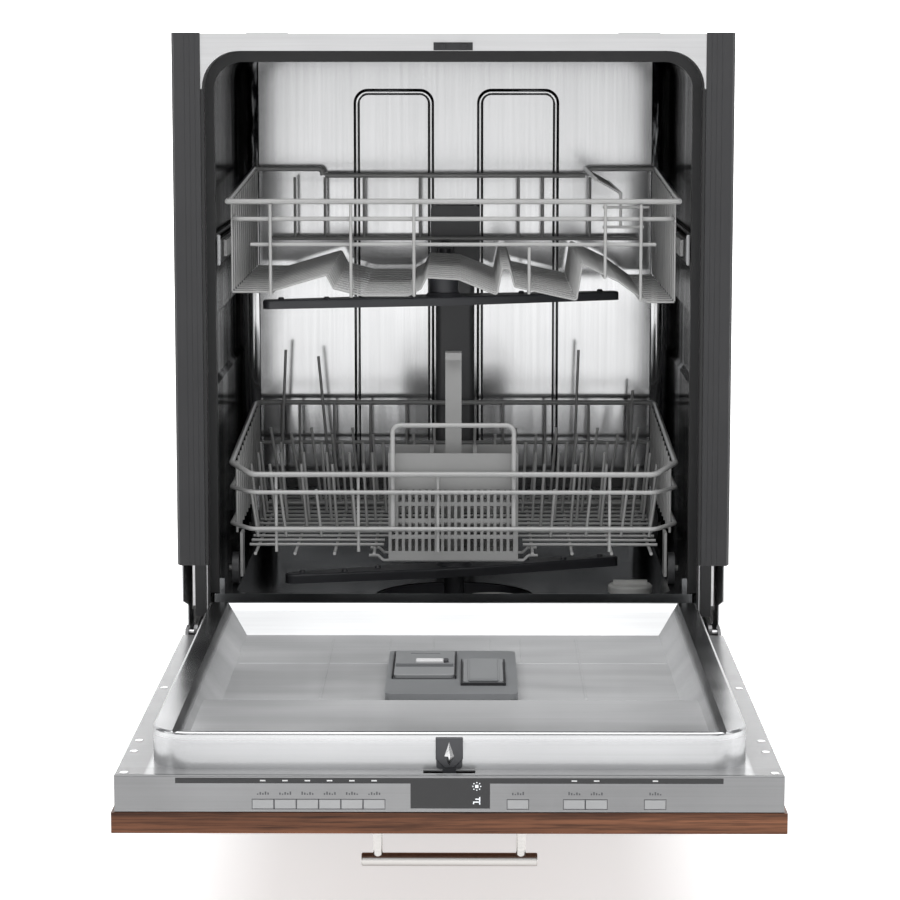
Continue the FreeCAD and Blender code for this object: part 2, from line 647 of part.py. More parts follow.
def notches(name):
    """Room at the hinge corners for the cabinet's cheeks and the door's arms."""
    return [block(f"{name}_notch_{side}", x, (door_y(32), door_y(-10)), ("wood_under", "door_top+5"))
            for side, x in (("left", ("-half_door-5", "-276")), ("right", ("276", "half_door+5")))]


BUTTON_PLACES = [-163.9 + 19.6 * i for i in range(6)] + [60.5, 110, 129.6, 181.2]


def door_outer_shell():
    """Steel tray under the inner panel, with the felt-lined space for the wiring."""
    tray = block("shell_tray", ("-half_door+1", "half_door-1"), (door_y(651.5), door_y(2)),
                 ("door_under", "door_top-1.3"))
    inside = block("shell_inside", ("-half_door+2.2", "half_door-2.2"), (door_y(650.3), door_y(3.2)),
                   ("door_under+1.2", "door_top+5"))
    slots = [block(f"shell_slot_{i}", (f"{x}-button_long/2-0.4", f"{x}+button_long/2+0.4"),
                   (door_y(653), door_y(649)), ("button_z-0.6", "button_z+button_tall+0.6"))
             for i, x in enumerate(BUTTON_PLACES)]
    keep("door_outer_shell", cut("shell_final", tray, [inside] + slots + notches("shell")))


def control_fascia():
    """Metal control strip on the door's end, pierced for the buttons and the display."""
    body = prism("fascia_body", "xz", rect(("-half_door", "half_door"), ("door_under+0.3", "door_top")),
                 door_y(655), door_y(652))
    dress(body, "Fillet", "fascia_round", "1.2", lambda edge: edge.CenterOfMass.y < num("front-654.9"))
    for i, x in enumerate(BUTTON_PLACES):
        pocket(body, f"fascia_hole_{i}", "xz", door_y(656), door_y(651), outline=rect(
            (f"{x}-button_long/2-0.15", f"{x}+button_long/2+0.15"),
            ("button_z-0.3", "button_z+button_tall+0.3")))
    pocket(body, "fascia_strip_seat", "xz", door_y(656), door_y(654),
           outline=rect(("-241", "241"), ("202.5", "207.5")))
    pocket(body, "fascia_window_seat", "xz", door_y(656), door_y(654),
           outline=rect(("-34", "36"), ("180", "207.5")))
    keep("control_fascia", body)


def display_window():
    """Dark strip and display, inlaid in the fascia."""
    strip = block("window_strip", ("-241", "241"), (door_y(655), door_y(654)), ("202.5", "207.5"))
    screen = block("window_screen", ("-34", "36"), (door_y(655), door_y(654)), ("180", "207.5"))
    keep("display_window", join("window_final", [strip, screen]))


def buttons():
    for i, x in enumerate(BUTTON_PLACES):
        body = prism(f"button_body_{i}", "xz", rect((f"{x}-button_long/2+0.15", f"{x}+button_long/2-0.15"),
                     ("button_z", "button_z+button_tall")), door_y(655), door_y(647))
        dress(body, "Fillet", f"button_round_{i}", "0.6",
              lambda edge: edge.CenterOfMass.y < num("front-654.9"))
        keep(f"button_{i + 1}", body)


def wood_front_panel():
    """Furniture door on the machine's door, longer than it at the hinge end."""
    body = prism("wood_body", "yz", rect((door_y(655), "front+wood_tail"), ("wood_under", "door_under")),
                 "-half_body", "half_body")
    dress(body, "Fillet", "wood_round", "1", lambda edge: edge.CenterOfMass.z < num("wood_under+0.1"))
    keep("wood_front_panel", body)


def bar_handle():
    y = "front-door_length+handle_y"
    grip = bar("handle_grip", "handle_radius", ("-handle_long/2", y, "handle_z"), "handle_long", "x")
    soft = round_edges("handle_round", grip, "1.5", lambda edge: True)
    posts = [bar("handle_post_" + side, "4.5", (x, y, "handle_z+2"), "wood_under-handle_z-2")
             for side, x in (("left", "-handle_pitch/2"), ("right", "handle_pitch/2"))]
    keep("bar_handle", join("handle_final", [soft] + posts))


def dispenser():
    """Detergent and rinse aid unit let into the door's basin, with its two lids."""
    well = block("dose_well", ("-59.5", "60.5"), (door_y(395.5), door_y(199.5)), ("184", "basin_z"))
    deck = block("dose_deck", ("-64", "65"), (door_y(400), door_y(195)), ("basin_z", "cup_deck"))
    soft = round_edges("dose_deck_round", deck, "8", runs_along("z"))
    cup = block("dose_cup", ("-50", "-4"), (door_y(322), door_y(223)), ("188", "cup_deck+5"))
    tank = block("dose_tank", ("20", "44"), (door_y(345), door_y(265)), ("200", "cup_deck+5"))
    keep("dispenser_housing", cut("dose_final", join("dose_whole", [well, soft]), [
        round_edges("dose_cup_round", cup, "10", runs_along("z")), tank]))
    lid = prism("dose_lid", "xy", rect(("-57", "3"), (door_y(330), door_y(215))),
                "cup_deck+lid_gap", "cup_deck+4")
    dress(lid, "Fillet", "dose_lid_round", "5", runs_along("z"))
    dress(lid, "Fillet", "dose_lid_edge", "1", lambda edge: edge.CenterOfMass.z > num("cup_deck+3.9"))
    keep("detergent_lid", lid)
    flap = prism("rinse_lid", "xy", rect(("12", "51"), (door_y(360), door_y(251.5))),
                 "cup_deck+lid_gap", "cup_deck+3.5")
    dress(flap, "Fillet", "rinse_lid_round", "4", runs_along("z"))
    barrel = bar("rinse_lid_barrel", "1.7", ("16", door_y(251.5), "cup_deck+2"), "31", "x")
    keep("rinse_aid_lid", join("rinse_lid_final", [flap, barrel]))


def door_latch():
    """Lock in the door's end: the striker's seat and its tongue."""
    seat = block("latch_seat", ("-22.5", "22.5"), (door_y(645.5), door_y(634)), ("190", "door_top-4"))
    tongue = block("latch_tongue", ("-11.5", "11.5"), (door_y(633.8), door_y(632.1)), ("door_top+1", "236"))
    soft = round_edges("latch_tongue_round", tongue, "3", runs_along("y"))
    stem = block("latch_stem", ("-6", "6"), (door_y(634), door_y(633.5)), ("200", "door_top+6"))
    slots = [block("latch_slot_" + side, x, (door_y(647), door_y(633)), ("197", "door_top"))
             for side, x in (("left", ("-15.5", "-7.5")), ("right", ("7.5", "15.5")))]
    keep("door_latch", join("latch_final", [cut("latch_seat_slotted", seat, slots), soft, stem]))


def door_screws():
    """Screws along the flange that hold the panel to the shell."""
    screws = []
    for i, distance in enumerate((298, 523, 565, 644)):
        for side, x in (("left", "-287"), ("right", "287")):
            profile = [("0", "0"), ("4", "0"), ("3.4", "0.3"), ("0", "0.35")]
            screws.append(turned(f"screw_{side}_{i}", profile, (x, door_y(distance), "door_top")))
    keep("door_screws", group("screws_final", screws))


def hinge_arms():
    """Arms on the door, each with a running bore on the cabinet's pin."""
    pair = []
    for side, way in (("left", -1), ("right", 1)):
        low, high = ("289.8", "292.8") if way > 0 else ("-292.8", "-289.8")
        arm = prism("arm_" + side, "yz", [
            (door_y(110), "180"), (door_y(12), "180"), ("front+1", "199"), ("front+3", "hinge_z+4"),
            ("front-3", "hinge_z+8"), ("front-10", "hinge_z+7"), (door_y(24), "hinge_z"),
            (door_y(110), "hinge_z")], low, high)
        pocket(arm, "arm_bore_" + side, "yz", low, high,
               circle=("front-hinge_back", "hinge_z", "pin_radius+0.05"))
        pair.append(arm)
    keep("hinge_arms", group("arms_final", pair))


# ---- racks ----

WAVE = [(-244, 578), (-205, 578), (-140, 597), (-132, 582), (-100, 574), (-50, 574), (-36, 582),
        (-30, 594), (6, 592), (48, 575), (54, 604), (62, 604), (68, 584), (136, 569), (142, 609),
        (182, 590), (214, 567), (244, 567)]


def wave_z(x):
    """Height of the upper rack's waved floor: low under cups, raised over the spray pipe."""
    for (x0, z0), (x1, z1) in zip(WAVE, WAVE[1:]):
        if x0 <= x <= x1:
            return z0 + (z1 - z0) * (x - x0) / (x1 - x0)
    raise ValueError("outside the rack")


def upper_rack():
    """Coated wire basket on the telescopic rails: a waved floor, upright sides and front rails."""
    thin, thick, fine = num("wire"), num("rail_wire"), num("fine_wire")
    front, back = num("front+upper_front"), num("front+upper_back")
    half, rail = num("upper_half") - thick, num("upper_rail_z")
    side_x, rise = half - thick - fine - 0.05, 19
    solids = []
    count = 14
    for i in range(count):
        y = front + 6 + (back - front - 26) * i / (count - 1)
        solids += wire([(x * side_x / 244, y, z) for x, z in WAVE], fine, bend=2.5, runs=2)
        top = rail + rise * (y - front) / (back - front)
        for x, foot in ((-side_x, WAVE[0][1]), (side_x, WAVE[-1][1])):
            solids += wire([(x, y, foot + fine + 0.02), (x, y, top)], fine)
    solids += upper_rails(front, back, half, rail, rise)
    for x in (-200, -112, -43, 83, 166, 205):
        level = wave_z(x) - 1.2 * (thin + fine)
        solids += wire([(x, front + 5, level), (x, back - 20, level)], thin)
        high = 628 if x == 83 else rail - thick
        solids += wire([(x, front - 4.2, level), (x, front - 4.2, high)], thin)
    for x in (-197, -160, -112, -43, 78, 108, 166):
        solids += wire([(x, back - 5, 613), (x, back - 5, rail + 9)], thin)
    for way in (-1, 1):
        solids.append(Part.makeBox(3.4, 330, 18, V(way * 252.9 - 1.7, front + 40, 615)))
    wires("upper_rack", solids)


def upper_rails(front, back, half, rail, rise):
    """The thick rails round the upper rack, with hooked ends at the front."""
    thick, thin = num("rail_wire"), num("wire")
    solids = wire([(-half, front - 0.5, rail), (half, front - 0.5, rail)], thick)
    solids += wire([(-222, front + thin - 0.6, 630.5), (222, front + thin - 0.6, 630.5)], 2.1)
    hook = half - 6
    middle = [(0, front, 658.5), (hook, front, 658.5), (hook, front + 34, 658.5)]
    for side in (middle, mirrored(middle)):
        solids += wire(side, 2.4, bend=9)
    for x in (-half, half):
        solids += wire([(x, front + 3.6, rail), (x, back - 6, rail + rise)], thick)
    solids += wire([(-160, back, 688.5), (160, back, 688.5)], thick)
    for way in (-1, 1):
        step = [(way * 163.2, back, 688.5), (way * 163.2, back, rail + rise), (way * half, back, rail + rise)]
        solids += wire(step, thick, bend=6)
    solids += wire([(-228, back, 611), (228, back, 611)], 2.4)
    return solids


def feed_manifold():
    """Pipe under the upper rack from its dock at the back to the spray arm's hub."""
    y = num("front+upper_hub_y")
    back = num("front+upper_back") + 4
    pipe = Part.makeCylinder(8.5, back - y - 9, V(-12, y, 577), V(0, 1, 0))
    hub = Part.makeCylinder(17, 22, V(-12, y, 562.6))
    dock = Part.makeCylinder(9.5, 22, V(-12, back - 14, 597), V(0, 1, 0))
    riser = Part.makeCylinder(8.5, 22, V(-12, back - 9, 577))
    return pipe.fuse([hub, dock, riser])


def spray_arm(node, centre, reach, thick):
    """Hollow bladed arm with a hub and nozzles: widest at the hub, rounded at its tips."""
    x, y, z = (num(value) for value in centre)
    outline = [V(-reach, -9, 0), V(-30, -24, 0), V(30, -24, 0), V(reach, -9, 0), V(reach, 9, 0),
               V(30, 24, 0), V(-30, 24, 0), V(-reach, 9, 0)]
    blade = Part.Face(Part.makePolygon(outline + outline[:1])).extrude(V(0, 0, thick))
    blade = blade.makeFillet(8, [edge for edge in blade.Edges if runs_along("z")(edge)
                                 and abs(edge.CenterOfMass.x) > reach - 1])
    blade = blade.makeFillet(2.5, [edge for edge in blade.Edges if edge.CenterOfMass.z > thick - 0.1])
    nozzles = [Part.makeCone(4, 2.5, 2.4, V(way * spot * reach, side, thick))
               for way in (-1, 1) for spot, side in ((0.45, 6), (0.66, -5), (0.9, 3))]
    arm = doc.addObject("Part::Feature", node)
    arm.Shape = blade.fuse(nozzles + [Part.makeCone(22, 18, 4, V(0, 0, thick))]).removeSplitter()
    arm.Placement = FreeCAD.Placement(V(x, y, z), FreeCAD.Rotation(V(0, 0, 1), 17.6))
    return keep(node, arm)


def cup_shelf():
    """Folding wire shelf over the upper rack's right side, with a clip loop at its front."""
    front, back = num("front+105"), num("front+395")
    high, low = (158.0, 699.0), (186.0, 683.0)
    solids = []
    for i in range(13):
        y = front + 10 + 22.5 * i
        solids += wire([(high[0] + 2.4, y, high[1] - 1.4), (low[0] - 2.4, y, low[1] + 1.4)], 1.2)
    for x, level in (high, low):
        solids += wire([(x, front, level), (x, back, level)], 2.1)
    for reach, drop in ((218, 668), (212, 646)):
        solids += wire([(166, front - 4, drop), (reach, front - 4, drop)], 1.6)
    solids += wire([(low[0], front - 4, low[1] + 1), (low[0], front - 4, 669.7)], 1.6)
    solids += wire([(low[0], front - 4, 666.3), (low[0], front - 4, 647.7)], 1.6)
    wires("cup_shelf", solids)


def lower_rack():
    """Coated wire basket on wheels: chamfered front corners, flat floor and a raised back."""
    thin, thick = num("wire"), num("rail_wire")
    front, back = num("front+lower_front"), num("front+lower_back")
    half, top, low = num("lower_half"), num("lower_top"), num("lower_floor")
    solids = []
    for level, rise, radius in ((top, 30, thick), (top - 20, 0, 2.4), (top - 61, 0, 2.4)):
        ring = [(0, front, level), (223, front, level), (half, front + 42, level + rise / 4),
                (half, back, level + rise), (0, back, level + rise)]
        for side in (ring, mirrored(ring)):
            solids += wire(side, radius, bend=14)
    inside = half - thick - thin - 0.05
    count = 13
    for i in range(count):
        y = front + 52 + (back - front - 66) * i / (count - 1)
        solids += floor_wire(y, inside - 14, low)
        for way in (-1, 1):
            rail = top + 7.5 + 22.5 * (y - front - 42) / (back - front - 42)
            solids += wire([(way * inside, y, low + 14), (way * inside, y, rail)], 1.4)
    under = low - 2 * thin - 0.05
    for i in range(11):
        x = -220 + 44 * i
        begin = front + 96 if abs(x) < 80 else front + 12
        solids += wire([(x, begin, under), (x, back - 8, under)], thin)
    solids += basket_cradle(front, low, top)
    for x in (-196, -105, -17, 173):
        y = front + thick + thin + 0.05
        solids += wire([(x, y, low), (x, y, top + 2)], thin)
    for x in (-215, -193, -150, -105, -60, 60, 112, 166, 215):
        y = back - thick - thin - 0.05
        solids += wire([(x, y, low + 3), (x, y, top + 29)], thin)
    solids += plate_tines(front, low)
    solids += wheel_brackets()
    wires("lower_rack", solids)


def floor_wire(y, reach, low):
    """A cross wire of the floor, in two pieces where the cutlery basket stands."""
    thin = num("wire")
    if y < num("front+124"):
        return [piece for way in (-1, 1) for piece in wire([(way * reach, y, low), (way * 78, y, low)], thin)]
    return wire([(-reach, y, low), (reach, y, low)], thin)


def basket_cradle(front, low, top):
    """Lowered cross wires under the cutlery basket, and the loop in front of it."""
    solids = []
    for y in (front + 22, front + 72):
        dip = [(-94, y, low - 7), (-84, y, low - 7), (-78, y, 277.4), (0, y, 277.4)]
        for side in (dip, mirrored(dip)):
            solids += wire(side, 1.6, bend=3)
    y = front + 5.8
    loop = [(-67, y, top - 59), (-67, y, 431), (67, y, 431), (67, y, top - 59)]
    return solids + wire(loop, 2.6, bend=9)


def plate_tines(front, low):
    """Fixed plate tines each side of the cutlery basket, leaning outwards."""
    tines = []
    for distance, tall, places in ((84, 58, (110, 150, 190, 222)), (146, 78, (100, 135, 170, 205, 226)),
                                   (200, 84, (92, 118, 144, 170, 196, 222)),
                                   (262, 88, (81.5, 105, 129, 152.5, 176, 200, 223.5))):
        for way in (-1, 1):
            for x in places:
                lean = 4 + (x - 90) * 0.03
                tines += wire([(way * x, front + distance, low + 3.6),
                               (way * (x + lean), front + distance, low + tall)], num("wire"))
    for x, lean, tall in ((-216, 8, 186), (-152, -16, 178), (146, 6, 186), (214, 5, 136)):
        y = front + 386
        tines += wire([(x, y, low + 3.6), (x + lean, y, low + tall)], num("wire"))
    return tines


WHEEL_ROWS = {"front_wheels": 96, "rear_wheels": 400}


def wheel_brackets():
    """Plates under the rack's sides that carry the axles."""
    plates = []
    for distance in WHEEL_ROWS.values():
        y = num("front") + distance
        z = num("ledge_z+wheel_gap+wheel_radius")
        for way in (-1, 1):
            plate = Part.makeBox(3, 26, 50, V(way * 238.5 - 1.5, y - 13, z - 8))
            axle = Part.makeCylinder(3, 13.5, V(240 if way > 0 else -253.5, y, z), V(1, 0, 0))
            plates.append(plate.fuse(axle))
    return plates


def wheels():
    """Rack wheels, a left and a right one on each axle line."""
    for node, distance in WHEEL_ROWS.items():
        pair = []
        for side, start in (("left", "-241-wheel_wide"), ("right", "241")):
            profile = [("3.05", "0"), ("7", "0"), ("7", "1.5"), ("13", "1.5"), ("13", "0"),
                       ("wheel_radius", "0.8"), ("wheel_radius", "wheel_wide-0.8"), ("13", "wheel_wide"),
                       ("13", "wheel_wide-1.5"), ("7", "wheel_wide-1.5"), ("7", "wheel_wide"),
                       ("3.05", "wheel_wide")]
            pair.append(turned(f"{node}_{side}", profile, (
                start, f"front+{distance}", "ledge_z+wheel_gap+wheel_radius"), "x"))
        keep(node, group(node + "_final", pair))


def rear_tine_row():
    """Fold-down row of plate tines: a bar with tines that lean out from the middle."""
    y, z = num("front+330"), num("lower_floor") + 9
    solids = wire([(-226, y, z), (226, y, z)], 2.2)
    for i in range(-9, 10):
        x = 23.0 * i
        tall = 92 if i % 2 else 84
        solids += wire([(x, y, z + 2.25), (x + 1.6 * i, y, z + tall)], num("wire"))
    wires("rear_tine_row", solids)


def cutlery_basket():
    """Moulded basket with slotted walls, three cells and a centre strap handle."""
    front, back = "front+44", "front+118"
    body = prism("basket_body", "xy", rect(("-basket_half", "basket_half"), (front, back)),
                 "basket_low", "basket_top")
    cell = 2 * num("basket_half") / 3
    for i in range(3):
        left = -num("basket_half") + cell * i
        pocket(body, f"basket_cell_{i}", "xy", "basket_low+3", "basket_top", outline=rect(
            (f"{left}+2.2", f"{left}+{cell}-2.2"), (front + "+2", back + "-2")))
    slot = pocket(body, "basket_slot", "xz", front, back, outline=rect(
        ("-basket_half+3.6", "-basket_half+7.6"), ("basket_low+10", "basket_low+24")))
    tile_slots(body, slot)
    strap = [block("basket_post", ("-9", "9"), ("front+79", "front+83"), ("basket_low+2", "508")),
             block("basket_grip", ("-9", "9"), ("front+70", "front+92"), ("500", "508"))]
    keep("cutlery_basket", join("basket_final", [body] + strap))


def tile_slots(body, slot):
    """Repeat the first slot over the basket's long walls."""
    before = body.Shape.Volume
    grid = body.newObject("PartDesign::MultiTransform", "basket_grid")
    grid.Originals = [slot]
    steps = []
    sketch = slot.Profile[0]
    for name, axis, span, count in (("across", "H_Axis", "7.27*18", 19), ("up", "V_Axis", "18.4*3", 4)):
        step = doc.addObject("PartDesign::LinearPattern", "basket_" + name)
        body.addObject(step)
        step.Direction = (sketch, [axis])
        step.setExpression("Length", bind(span))
        step.Occurrences = count
        steps.append(step)
    grid.Transformations = steps
    body.Tip = grid
    doc.recompute()
    if body.Shape.Volume > before - 10:
        raise ValueError("basket slots remove nothing")


def build():
    fill_sheet()
    for make in (front_frame, tub_wrapper, tub_back_wall, tub_floor, tub_gasket, side_trims,
                 side_panels, insulation_blanket, base_tray, feet, toe_panel, hinge_brackets,
                 sump_and_pump, connections, spray_feed_duct, latch_strike, worktop_brackets,
                 filter_cup, salt_cap, upper_tracks, telescopic_rails, inner_door_panel,
                 door_outer_shell, control_fascia, display_window, buttons, wood_front_panel,
                 bar_handle, dispenser, door_latch, door_screws, hinge_arms, upper_rack,
                 cup_shelf, lower_rack, wheels, rear_tine_row, cutlery_basket):
        make()
    manifold = doc.addObject("Part::Feature", "feed_manifold")
    manifold.Shape = feed_manifold()
    keep("feed_manifold", manifold)
    spray_arm("upper_spray_arm", ("-12", "front+upper_hub_y", "upper_arm_z"), num("upper_arm_reach"), 10)
    spray_arm("lower_spray_arm", ("0", "front+sump_y", "lower_hub_z"), num("lower_arm_reach"), 11)
    doc.recompute()


def check():
    for item in doc.Objects:
        if "Invalid" in item.State or "Error" in item.State:
            raise ValueError(item.Name + " failed")
    for node, item in parts.items():
        if item.Shape.isNull() or not item.Shape.isValid():
            raise ValueError(node + " has no valid shape")


def export():
    os.makedirs("parts", exist_ok=True)
    for node, item in parts.items():
        item.Shape.exportStep(f"parts/{node}.step")


build()
check()
export()
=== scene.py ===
import math

import bpy
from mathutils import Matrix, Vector


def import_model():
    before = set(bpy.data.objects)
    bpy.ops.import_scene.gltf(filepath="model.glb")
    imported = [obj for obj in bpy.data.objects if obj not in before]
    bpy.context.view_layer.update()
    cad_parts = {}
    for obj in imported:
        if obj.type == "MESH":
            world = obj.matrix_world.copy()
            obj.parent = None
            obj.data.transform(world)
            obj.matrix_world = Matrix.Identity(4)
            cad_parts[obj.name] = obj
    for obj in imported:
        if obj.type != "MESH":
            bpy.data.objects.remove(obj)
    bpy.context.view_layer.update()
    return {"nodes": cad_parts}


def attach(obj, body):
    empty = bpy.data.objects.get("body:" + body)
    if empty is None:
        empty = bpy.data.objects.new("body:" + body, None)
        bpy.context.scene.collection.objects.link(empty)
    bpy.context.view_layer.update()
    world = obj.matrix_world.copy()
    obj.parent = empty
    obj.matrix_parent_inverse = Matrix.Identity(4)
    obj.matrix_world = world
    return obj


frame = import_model()
nodes = frame["nodes"]


# ---- materials ----

def fresh(name):
    """A node material with its tree and its Principled shader."""
    mat = bpy.data.materials.new(name)
    mat.use_nodes = True
    tree = mat.node_tree
    tree.nodes.clear()
    out = tree.nodes.new("ShaderNodeOutputMaterial")
    shader = tree.nodes.new("ShaderNodeBsdfPrincipled")
    tree.links.new(shader.outputs["BSDF"], out.inputs["Surface"])
    return mat, tree, shader


def stretched_noise(tree, scale, size=1.0, detail=4.0, rough=0.55):
    """Noise in the object's own space, stretched by a scale on each axis."""
    place = tree.nodes.new("ShaderNodeTexCoord")
    turn = tree.nodes.new("ShaderNodeMapping")
    turn.inputs["Scale"].default_value = scale
    noise = tree.nodes.new("ShaderNodeTexNoise")
    noise.inputs["Scale"].default_value = size
    noise.inputs["Detail"].default_value = detail
    noise.inputs["Roughness"].default_value = rough
    tree.links.new(place.outputs["Object"], turn.inputs["Vector"])
    tree.links.new(turn.outputs["Vector"], noise.inputs["Vector"])
    return noise.outputs["Fac"]


def ramp(tree, value, low, high, ends=(0.3, 0.7)):
    """Two colours spread over a value."""
    node = tree.nodes.new("ShaderNodeValToRGB")
    for stop, spot, colour in zip(node.color_ramp.elements, ends, (low, high)):
        stop.position = spot
        stop.color = (*colour, 1)
    tree.links.new(value, node.inputs["Fac"])
    return node.outputs["Color"]


def spread(tree, value, low, high):
    """A value mapped to run from low to high."""
    node = tree.nodes.new("ShaderNodeMapRange")
    node.inputs["From Min"].default_value = 0.3
    node.inputs["From Max"].default_value = 0.7
    node.inputs["To Min"].default_value = low
    node.inputs["To Max"].default_value = high
    tree.links.new(value, node.inputs["Value"])
    return node.outputs["Result"]


def bump(tree, shader, heights):
    """Bumps from (height, strength, distance) laid over each other."""
    normal = None
    for value, strength, distance in heights:
        node = tree.nodes.new("ShaderNodeBump")
        node.inputs["Strength"].default_value = strength
        node.inputs["Distance"].default_value = distance
        tree.links.new(value, node.inputs["Height"])
        if normal:
            tree.links.new(normal, node.inputs["Normal"])
        normal = node.outputs["Normal"]
    tree.links.new(normal, shader.inputs["Normal"])


def times(tree, colour, value, share=1.0):
    """A colour darkened by a value, as far as the share says."""
    mix = tree.nodes.new("ShaderNodeMixRGB")
    mix.blend_type = "MULTIPLY"
    mix.inputs["Fac"].default_value = share
    tree.links.new(colour, mix.inputs["Color1"])
    tree.links.new(value, mix.inputs["Color2"])
    return mix.outputs["Color"]


def grey_ramp(tree, value, low, high, ends):
    return ramp(tree, value, (low, low, low), (high, high, high), ends)


def shade(colour, factor):
    return tuple(min(1.0, channel * factor) for channel in colour)


def steel(name, colour, rough, grain, grain_depth=0.00004, wave=0.0, edge=1.0):
    """Steel with a fine grain drawn along one axis, smudges, and if asked a gentle waviness.

    edge is how much it keeps of its reflection at a glancing angle.
    """
    mat, tree, shader = fresh(name)
    shader.inputs["Metallic"].default_value = 1.0
    shader.inputs["Specular Tint"].default_value = (edge, edge, edge, 1)
    lines = stretched_noise(tree, grain, 1.0, 6.0, 0.7)
    smudge = stretched_noise(tree, (1, 1, 1), 9.0, 3.0)
    tree.links.new(ramp(tree, lines, shade(colour, 0.93), shade(colour, 1.05)), shader.inputs["Base Color"])
    tree.links.new(spread(tree, smudge, rough * 0.8, rough * 1.25), shader.inputs["Roughness"])
    heights = [(lines, 0.35, grain_depth)]
    if wave:
        heights.append((stretched_noise(tree, (1, 1, 1), 3.2, 1.0), 0.5, wave))
    bump(tree, shader, heights)
    return mat


def painted_reflection_steel(name):
    """Deep-drawn steel with a fine upright grain. Its dark and light upright bands are painted reflections,
    in the base colour and in the edge tint, so it is dark at a glancing angle too.
    """
    mat, tree, shader = fresh(name)
    shader.inputs["Metallic"].default_value = 1.0
    reflection_bands = stretched_noise(tree, (16, 16, 1.6), 1.0, 3.0, 0.6)
    fine = stretched_noise(tree, (240, 240, 3), 1.0, 5.0, 0.7)
    # painted reflections: broad upright bands from near black to mid grey stand in for the reflections on
    # the tub walls
    tone = ramp(tree, reflection_bands, (0.012, 0.012, 0.013), (0.5, 0.505, 0.51), (0.5, 0.74))
    tree.links.new(tone, shader.inputs["Base Color"])
    tree.links.new(tone, shader.inputs["Specular Tint"])
    tree.links.new(spread(tree, fine, 0.12, 0.2), shader.inputs["Roughness"])
    bump(tree, shader, [(fine, 0.3, 0.00002), (reflection_bands, 0.5, 0.0015)])
    return mat


FLANGE = (0.2655, 0.2672)     # where the door's flange starts, sideways from its middle, in metres; beyond it the steel is dulled with painted shade
RIM_FOOT = (0.234, 0.239)     # heights between which the basin's dimmer painted tone turns into the rim's painted brightness
RIM_FRONT = (0.578, 0.584)    # where the rim's front face starts, forward from the origin; from here it is darkened with painted shade
BASIN_FRONT = (0.36, 0.52)    # where the basin's painted shade begins, darkening it toward its front


def door_steel(name):
    """The door's lining, one steel sheet painted with light and shade: painted brightness on the rim, a
    dimmer tone in the basin, painted shade toward the basin's front and painted shade dulling the outer
    flange.
    """
    mat, tree, shader = fresh(name)
    place = tree.nodes.new("ShaderNodeTexCoord")
    split = tree.nodes.new("ShaderNodeSeparateXYZ")
    tree.links.new(place.outputs["Object"], split.inputs["Vector"])
    sideways = tree.nodes.new("ShaderNodeMath")
    sideways.operation = "ABSOLUTE"
    tree.links.new(split.outputs["X"], sideways.inputs[0])
    forward = tree.nodes.new("ShaderNodeMath")
    forward.operation = "MULTIPLY"
    forward.inputs[1].default_value = -1.0
    tree.links.new(split.outputs["Y"], forward.inputs[0])
    # painted light: metallic rises with height so the rim reads bright and the basin dim
    painted_rim_light = grey_ramp(tree, split.outputs["Z"], 0.36, 1.0, RIM_FOOT)
    # painted shade: more metallic toward the basin's front darkens it there
    painted_front_shade = grey_ramp(tree, forward.outputs[0], 0.0, 0.14, BASIN_FRONT)
    metal = tree.nodes.new("ShaderNodeMixRGB")
    metal.blend_type = "ADD"
    metal.use_clamp = True
    metal.inputs["Fac"].default_value = 1.0
    tree.links.new(painted_rim_light, metal.inputs["Color1"])
    tree.links.new(painted_front_shade, metal.inputs["Color2"])
    # painted shade: the outer flange loses most of its metallic and specular reflection
    metallic = times(tree, metal.outputs["Color"], grey_ramp(tree, sideways.outputs[0], 1.0, 0.1, FLANGE))
    tree.links.new(metallic, shader.inputs["Metallic"])
    painted_flange_gloss = grey_ramp(tree, sideways.outputs[0], 0.5, 0.1, FLANGE)
    tree.links.new(painted_flange_gloss, shader.inputs["Specular IOR Level"])
    lines = stretched_noise(tree, (3, 320, 320), 1.0, 6.0, 0.7)
    cloud = stretched_noise(tree, (1.2, 3.2, 1), 2.6, 2.0)
    tone = ramp(tree, cloud, (0.5, 0.505, 0.51), (0.66, 0.664, 0.67), (0.38, 0.62))
    # the first factor is the steel's own grain; the others are painted shade, darkening the flange to 0.3
    # and the rim's front face to 0.85
    for value in (grey_ramp(tree, lines, 0.9, 1.0, (0.3, 0.7)),
                  grey_ramp(tree, sideways.outputs[0], 1.0, 0.3, FLANGE),
                  grey_ramp(tree, forward.outputs[0], 1.0, 0.85, RIM_FRONT)):
        tone = times(tree, tone, value)
    tree.links.new(tone, shader.inputs["Base Color"])
    shader.inputs["Specular Tint"].default_value = (0.45, 0.45, 0.45, 1)
    tree.links.new(spread(tree, cloud, 0.17, 0.25), shader.inputs["Roughness"])
    bump(tree, shader, [(lines, 0.35, 0.00003), (cloud, 0.5, 0.0012)])
    return mat


def moulded(name, colour, rough, texture=900.0, depth=0.00003, coat=0.0, mottle=0.06):
    """Moulded plastic, rubber or paint: a fine skin, faint mottling and changing gloss."""
    mat, tree, shader = fresh(name)
    skin = stretched_noise(tree, (1, 1, 1), texture, 2.0)
    cloud = stretched_noise(tree, (1, 1, 1), 14.0, 4.0)
    low, high = shade(colour, 1 - mottle), shade(colour, 1 + mottle)
    tree.links.new(ramp(tree, cloud, low, high), shader.inputs["Base Color"])
    tree.links.new(spread(tree, cloud, rough * 0.88, rough * 1.12), shader.inputs["Roughness"])
    shader.inputs["Coat Weight"].default_value = coat
    shader.inputs["Coat Roughness"].default_value = 0.12
    bump(tree, shader, [(skin, 0.4, depth)])
    return mat


